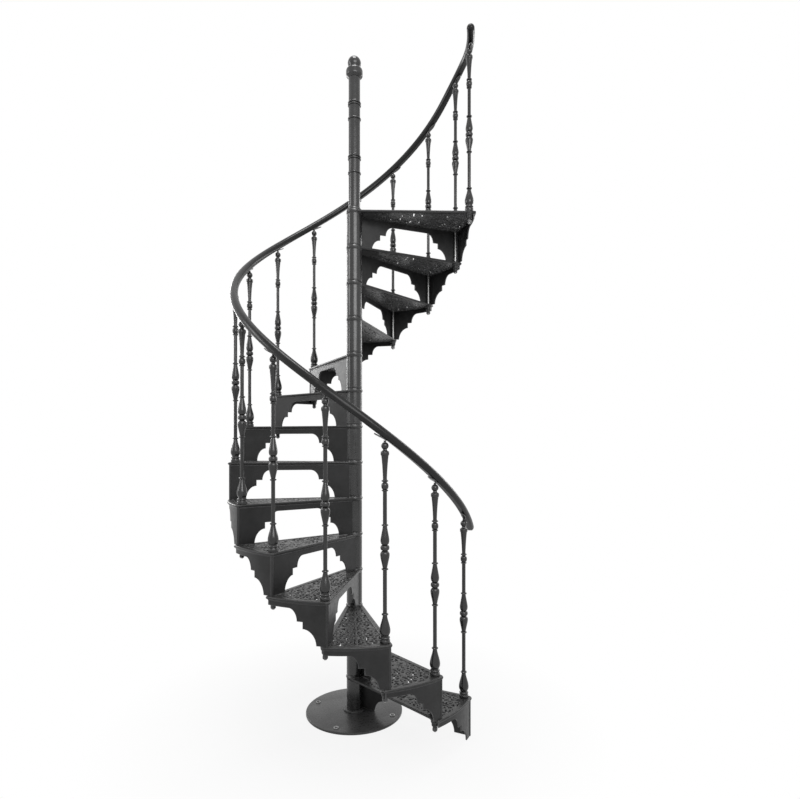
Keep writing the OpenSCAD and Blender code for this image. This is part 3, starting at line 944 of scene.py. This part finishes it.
def turning(r):
    """A baluster's outline from its foot to its cap, on a rod of radius r."""
    foot = [(0, 21.0), (0.0012, 21.5), (0.0148, 21.5), (0.0165, 20.6), (0.0178, 18.6), (0.021, 18.0),
            (0.0225, 19.2), (0.0245, 20.6), (0.027, 21.0), (0.0295, 20.6), (0.0315, 19.0),
            (0.0335, 16.9), (0.036, 16.5), (0.0385, 17.4)]
    vase = soften([(0.0385, 17.4), (0.043, 19.3), (0.050, 21.6), (0.059, 22.5), (0.070, 22.0),
                   (0.084, 19.9), (0.099, 16.8), (0.113, 13.7), (0.127, 11.2), (0.1365, r + 0.5)], 3)
    mid = soften([(0.3722, r + 0.6), (0.380, 11.3), (0.393, 13.3), (0.410, 16.2), (0.425, 18.6),
                  (0.436, 19.6), (0.444, 19.4), (0.451, 17.6), (0.456, 14.2), (0.459, 10.8)], 2)
    upper = soften([(0.488, 11.3), (0.491, 14.8), (0.496, 16.9), (0.504, 18.3), (0.512, 18.5),
                    (0.522, 17.7), (0.535, 15.9), (0.550, 13.8), (0.566, 11.6), (0.5806, r + 0.4)], 2)
    flute = soften([(0.8135, 9.9), (0.818, 9.5), (0.835, 10.0), (0.860, 10.9), (0.890, 12.4),
                    (0.915, 14.1), (0.930, 15.3)], 2)
    cap = [(0.933, 15.6), (0.9345, 17.0), (0.9365, 17.8), (0.940, 18.0), (0.949, 18.0), (0.952, 17.4),
           (0.9545, 15.0), (0.9565, 12.0), (0.960, 10.3), (0.9645, 9.7)]
    return (foot + vase[1:] + ring(0.142, r, 14.5) + ring(0.367, r, 14.5) + mid[1:]
            + small_ball(0.4735, 0.0135, 10.8, 8.2) + upper[:-1] + ring(0.586, r, 14.5)
            + ring(0.759, r, 14.0) + [(0.7655, 10.2)] + small_ball(0.7812, 0.0155, 10.0, 5.5)
            + [(0.798, 9.4)] + ring(0.8065, 9.6, 14.5) + flute + cap)


def stands_on(k):
    """Height of the tread that baluster k stands on."""
    return min(k, STEPS) * RISER


def baluster(k):
    """Turned baluster k, from its foot at z = 0 to the ball under the rail."""
    h = post_top(k) - stands_on(k) - SEAT
    # where h differs, near the top of the stair, the upper rod makes it up
    more = h - BALUSTER_H + SEAT
    pts = [(0, 0)] + [(ROD_R + (r - ROD_R) * FULLER, p * BALUSTER_H + (more if p > 0.7 else 0))
                      for p, r in turning(ROD_R)]
    # the ball on top, cut flat under the saddle's neck
    for i in range(15):
        a = math.radians(-52 + 130 * i / 14)
        pts.append((TOP_BALL_R * math.cos(a), h - TOP_BALL_R * sin(78) + TOP_BALL_R * math.sin(a)))
    pts.append((0, h))
    shape = Shape()
    shape.add(*lathe(pts, 32))
    return shape.mesh(f"baluster_{k:02d}_turned", sharp=42)


def stud(k):
    """Steel rod from the baluster's foot down through its nut. The first goes
    through one tread only, the last only through the top tread's socket, and
    the others through a tread and the socket of the one below."""
    if k == 1:
        drop = LIP_DEPTH + NUT_H + 8
    else:
        drop = (RISER if k <= STEPS else 0) + LUG + NUT_H + 6
    shape = Shape()
    shape.add(*lathe([(0, 0.2), (7.9, 0.2), (7.9, -drop + 2.0), (6.4, -drop), (0, -drop)], 32))
    return shape.mesh(f"baluster_{k:02d}_stud")


alike = baluster(2)
for k in range(1, STEPS + 2):
    me = alike if 2 <= k <= STEPS - 1 else baluster(k)
    where = (Matrix.Rotation(-math.radians(turn(k)), 4, "Z")
             @ Matrix.Translation((POST_R * MM, 0, (stands_on(k) + SEAT) * MM)))
    piece(f"baluster_turned_{k:02d}", me, TURNED, (f"baluster_{k:02d}",), where)
    piece(f"baluster_stud_{k:02d}", stud(k), STUD, (f"baluster_{k:02d}",), where)


def nuts():
    """Hex nuts on the studs, with their corners chamfered."""
    shape = Shape()
    apothem, n = 11.2, 48
    # greatest radius at each height, round from the bore and back to it
    levels = [(8.4, 0.6), (9.0, 0.0), (11.3, 0.0), (12.8, 1.6), (12.95, 3.0), (12.95, 11.0),
              (12.8, 12.4), (11.3, 14.0), (9.0, 14.0), (8.4, 13.4)]
    for k in range(1, STEPS + 2):
        under = RISER - LIP_DEPTH if k == 1 else (k - 1) * RISER - LUG
        z0 = under - SEAT - NUT_H
        verts = []
        for most, z in levels:
            for i in range(n):
                a = 360.0 * i / n
                r = min(apothem / cos((a % 60) - 30), most)
                verts.append((POST_R + r * cos(a), r * sin(a), z0 + z))
        shape.add(verts, wrap(len(levels), n, closed=True), place=swung(-turn(k)))
    return shape.mesh("baluster_nuts_hex", sharp=25)


piece("baluster_nuts_hex", nuts(), NUT, ("baluster_nuts",))


# ----------------------------------------------------------------------- newel

NEWEL_R = 33.0
TOP_Z = STEPS * RISER + HUB_LIFT
# levels at which the three sleeves, and then the finial, follow each other
SLEEVES = [TOP_Z + SEAT, TOP_Z + 312, TOP_Z + 621, TOP_Z + 759]


def bead(z, w):
    """Bead that reaches w below and above z, between two grooves."""
    return ([(NEWEL_R, z - w - 2.4), (NEWEL_R - 1.0, z - w - 1.6), (NEWEL_R - 1.0, z - w - 0.2)]
            + [(NEWEL_R + 0.2 + 5.0 * math.sin(math.pi * i / 8) ** 0.8,
                z - w * math.cos(math.pi * i / 8)) for i in range(9)]
            + [(NEWEL_R - 1.0, z + w + 0.2), (NEWEL_R - 1.0, z + w + 1.6), (NEWEL_R, z + w + 2.4)])


def sleeve(name, z0, z1, beads, flare=0):
    """Tube with beads, and with a foot that is wider by flare."""
    foot = NEWEL_R + flare
    pts = [(BORE_R, z0), (foot - 0.5, z0), (foot, z0 + 0.8)]
    if flare:
        pts += [(foot, z0 + 3.5), (NEWEL_R + flare * 0.7, z0 + 5.5), (NEWEL_R + flare * 0.2, z0 + 8),
                (NEWEL_R, z0 + 11)]
    for b, w in beads:
        pts += bead(b, w)
    pts += [(NEWEL_R, z1 - 0.8), (NEWEL_R - 0.6, z1), (BORE_R, z1), (BORE_R, z0)]
    shape = Shape()
    shape.add(*lathe(pts, 72))
    piece(name + "_turned", shape.mesh(name + "_turned", sharp=40), HUBS, (name,))


def beads_of(low, high):
    """One bead partway up a sleeve, and a pair at its top."""
    return [(low + 210, 5.0), (high - 20, 4.0), (high - 7.5, 4.0)]


sleeve("newel_sleeve_lower", SLEEVES[0], SLEEVES[1], beads_of(SLEEVES[0], SLEEVES[1]), 4)
sleeve("newel_sleeve_middle", SLEEVES[1] + SEAT, SLEEVES[2], beads_of(SLEEVES[1], SLEEVES[2]))
sleeve("newel_sleeve_upper", SLEEVES[2] + SEAT, SLEEVES[3], [])


def finial():
    """Turned cap with a ball on it."""
    z, ball_z, r = SLEEVES[3] + SEAT, 86.2, 38.0
    cap = soften([(NEWEL_R, z), (34.5, z + 1.2), (39, z + 5), (43.5, z + 8.5), (46.8, z + 12),
                  (47.8, z + 17), (48, z + 22), (48, z + 36), (47.6, z + 41), (46, z + 46),
                  (43, z + 50), (38, z + 52.4), (33.5, z + 53.2), (30.5, z + 54.5), (29.2, z + 57)], 2)
    ball = [(r * cos(a), z + ball_z + r * sin(a)) for a in np.linspace(-38, 88, 30)]
    shape = Shape()
    shape.add(*lathe([(0, z)] + cap + [(29.5, z + 60)] + ball[1:] + [(0, z + ball_z + r)], 72))
    return shape.mesh("newel_finial_turned", sharp=40)


piece("newel_finial_turned", finial(), HUBS, ("newel_finial",))


# ------------------------------------------------------------------ base plate

BASE_R, BOSS_R = 275.0, 62.0
BOLT_CIRCLE, BOLT_HOLE_R = 234.0, 9.0
BOLTS = [(BOLT_CIRCLE * cos(-20 - 90 * i), BOLT_CIRCLE * sin(-20 - 90 * i)) for i in range(4)]


def base_plate():
    """Round plate with four bolt holes, and the raised ring round the column."""
    holes = [ring_points(x, y, BOLT_HOLE_R, 32)[::-1] for x, y in BOLTS]
    ring_side = [(BOSS_R, 11.5), (BOSS_R, 20.4), (61.4, 21.4), (60.4, BOSS_TOP)]
    shape = Shape()
    disc = [ring_points(0, 0, BASE_R, 180)] + holes
    shape.add(*plate(disc, 0.0, BASE_TOP, edge=2.0, under=0.8, rounds=4))
    shape.add(*lathe([(0, 11.5)] + ring_side + [(0, BOSS_TOP)], 72))
    return shape.mesh("base_plate_disc", sharp=40)


def collars():
    """Steel collars round the bolt holes."""
    collar = [(9.2, 11.9), (13.6, 11.9), (13.6, 15.6), (12.8, 16.4), (10.0, 16.4), (9.2, 15.6),
              (9.2, 11.9)]
    shape = Shape()
    for x, y in BOLTS:
        shape.add(*lathe(collar, 40), place=swung(0, x, y))
    return shape.mesh("bolt_hole_collars")


piece("base_plate_disc", base_plate(), BASE, ("base_plate",))
piece("bolt_hole_collars", collars(), COLLAR)

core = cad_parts["centre_column"]
core.data.materials.clear()
core.data.materials.append(HUBS)


# ------------------------------------------------------- floor, light and camera
# Places and sizes are in metres here, but for the floor's disc.

FLOOR_GREY = 0.55
# less plain white near the axis lets the real shadow show and also paints a soft shade round the foot
WHITE_NEAR, WHITE_FAR = 0.86, 1.0     # share of plain white in the floor
NEAR, FAR = 0.4, 1.4                  # up to NEAR from the axis, and from FAR on
FILL_LEVEL = 0.40                     # world's strength as light on the object


def sees_white(tree):
    """1 on the rays that meet the white background: the camera's, and those
    that gloss and glass send out."""
    path = tree.nodes.new("ShaderNodeLightPath")
    out = path.outputs["Is Camera Ray"]
    for ray in ("Is Glossy Ray", "Is Transmission Ray"):
        top = node(tree, "ShaderNodeMath", operation="MAXIMUM")
        tree.links.new(out, top.inputs[0])
        tree.links.new(path.outputs[ray], top.inputs[1])
        out = top.outputs[0]
    return out


def floor_material():
    """Pale floor that keeps the object's soft shadow, is a little greyer near
    the axis, a painted shade round the stair's foot even where no shadow falls,
    and runs out into the white background further off."""
    mat = bpy.data.materials.new("studio_floor")
    mat.use_nodes = True
    t = mat.node_tree
    bsdf = t.nodes["Principled BSDF"]
    bsdf.inputs["Base Color"].default_value = (FLOOR_GREY, FLOOR_GREY, FLOOR_GREY, 1)
    bsdf.inputs["Roughness"].default_value = 0.9
    bsdf.inputs["Specular IOR Level"].default_value = 0.1
    glow = node(t, "ShaderNodeEmission", Strength=1.0)
    geo = t.nodes.new("ShaderNodeNewGeometry")
    far = node(t, "ShaderNodeVectorMath", operation="LENGTH")
    t.links.new(geo.outputs["Position"], far.inputs[0])
    share = t.nodes.new("ShaderNodeMapRange")
    for key, v in (("From Min", NEAR), ("From Max", FAR),
                   ("To Min", WHITE_NEAR), ("To Max", WHITE_FAR)):
        share.inputs[key].default_value = v
    t.links.new(far.outputs["Value"], share.inputs["Value"])
    part = node(t, "ShaderNodeMath", operation="MULTIPLY")
    t.links.new(share.outputs["Result"], part.inputs[0])
    t.links.new(sees_white(t), part.inputs[1])
    mix = t.nodes.new("ShaderNodeMixShader")
    t.links.new(part.outputs[0], mix.inputs[0])
    t.links.new(bsdf.outputs[0], mix.inputs[1])
    t.links.new(glow.outputs[0], mix.inputs[2])
    t.links.new(mix.outputs[0], t.nodes["Material Output"].inputs["Surface"])
    return mat


def floor_mesh():
    """Disc of 9 m radius, just below the base plate."""
    shape = Shape()
    shape.add([(x, y, -0.6) for x, y in ring_points(0, 0, 9000, 96)], [tuple(range(96))])
    return shape.mesh("studio_floor")


floor = bpy.data.objects.new("studio_floor", floor_mesh())
floor.data.materials.append(floor_material())
bpy.context.scene.collection.objects.link(floor)


def studio_world():
    """White to the camera and in reflections, and a plain fill otherwise."""
    world = bpy.data.worlds.new("studio")
    bpy.context.scene.world = world
    world.use_nodes = True
    t = world.node_tree
    back = t.nodes["Background"]
    back.inputs["Color"].default_value = (1, 1, 1, 1)
    level = node(t, "ShaderNodeMath", operation="MAXIMUM")
    t.links.new(sees_white(t), level.inputs[0])
    level.inputs[1].default_value = FILL_LEVEL
    t.links.new(level.outputs[0], back.inputs["Strength"])


def lamp(name, at, to, size, watts):
    """Rectangular lamp at one point, aimed at another."""
    data = bpy.data.lights.new(name, "AREA")
    data.shape = "RECTANGLE"
    data.size, data.size_y = size
    data.energy = watts
    ob = bpy.data.objects.new(name, data)
    ob.location = at
    ob.rotation_euler = (Vector(to) - Vector(at)).to_track_quat("-Z", "Y").to_euler()
    bpy.context.scene.collection.objects.link(ob)


def photo_camera():
    """The camera that was fitted to the photo, level and looking along +y."""
    data = bpy.data.cameras.new("camera")
    data.lens = 25.26
    data.sensor_width = 36.0
    data.shift_y = 0.0549
    ob = bpy.data.objects.new("camera", data)
    ob.location = (0.2628, -3.233, 1.539)
    ob.rotation_euler = (math.radians(90), 0, 0)
    bpy.context.scene.collection.objects.link(ob)
    bpy.context.scene.camera = ob


studio_world()
lamp("side_left", (-4.9, -0.9, 3.7), (0, 0, 2.2), (1.2, 3.2), 70)
lamp("front_right", (1.5, -4.8, 3.9), (0, 0, 2.2), (3.8, 2.8), 150)
lamp("back_left", (-3.4, 4.0, 3.4), (0, 0, 1.9), (0.8, 3.4), 70)
lamp("back_right", (3.9, 3.4, 3.4), (0, 0, 1.9), (0.8, 3.4), 70)
lamp("overhead", (0, -1.0, 7.2), (0, 0, 1.6), (1.8, 1.8), 120)
photo_camera()
bpy.context.scene.view_settings.view_transform = "Standard"
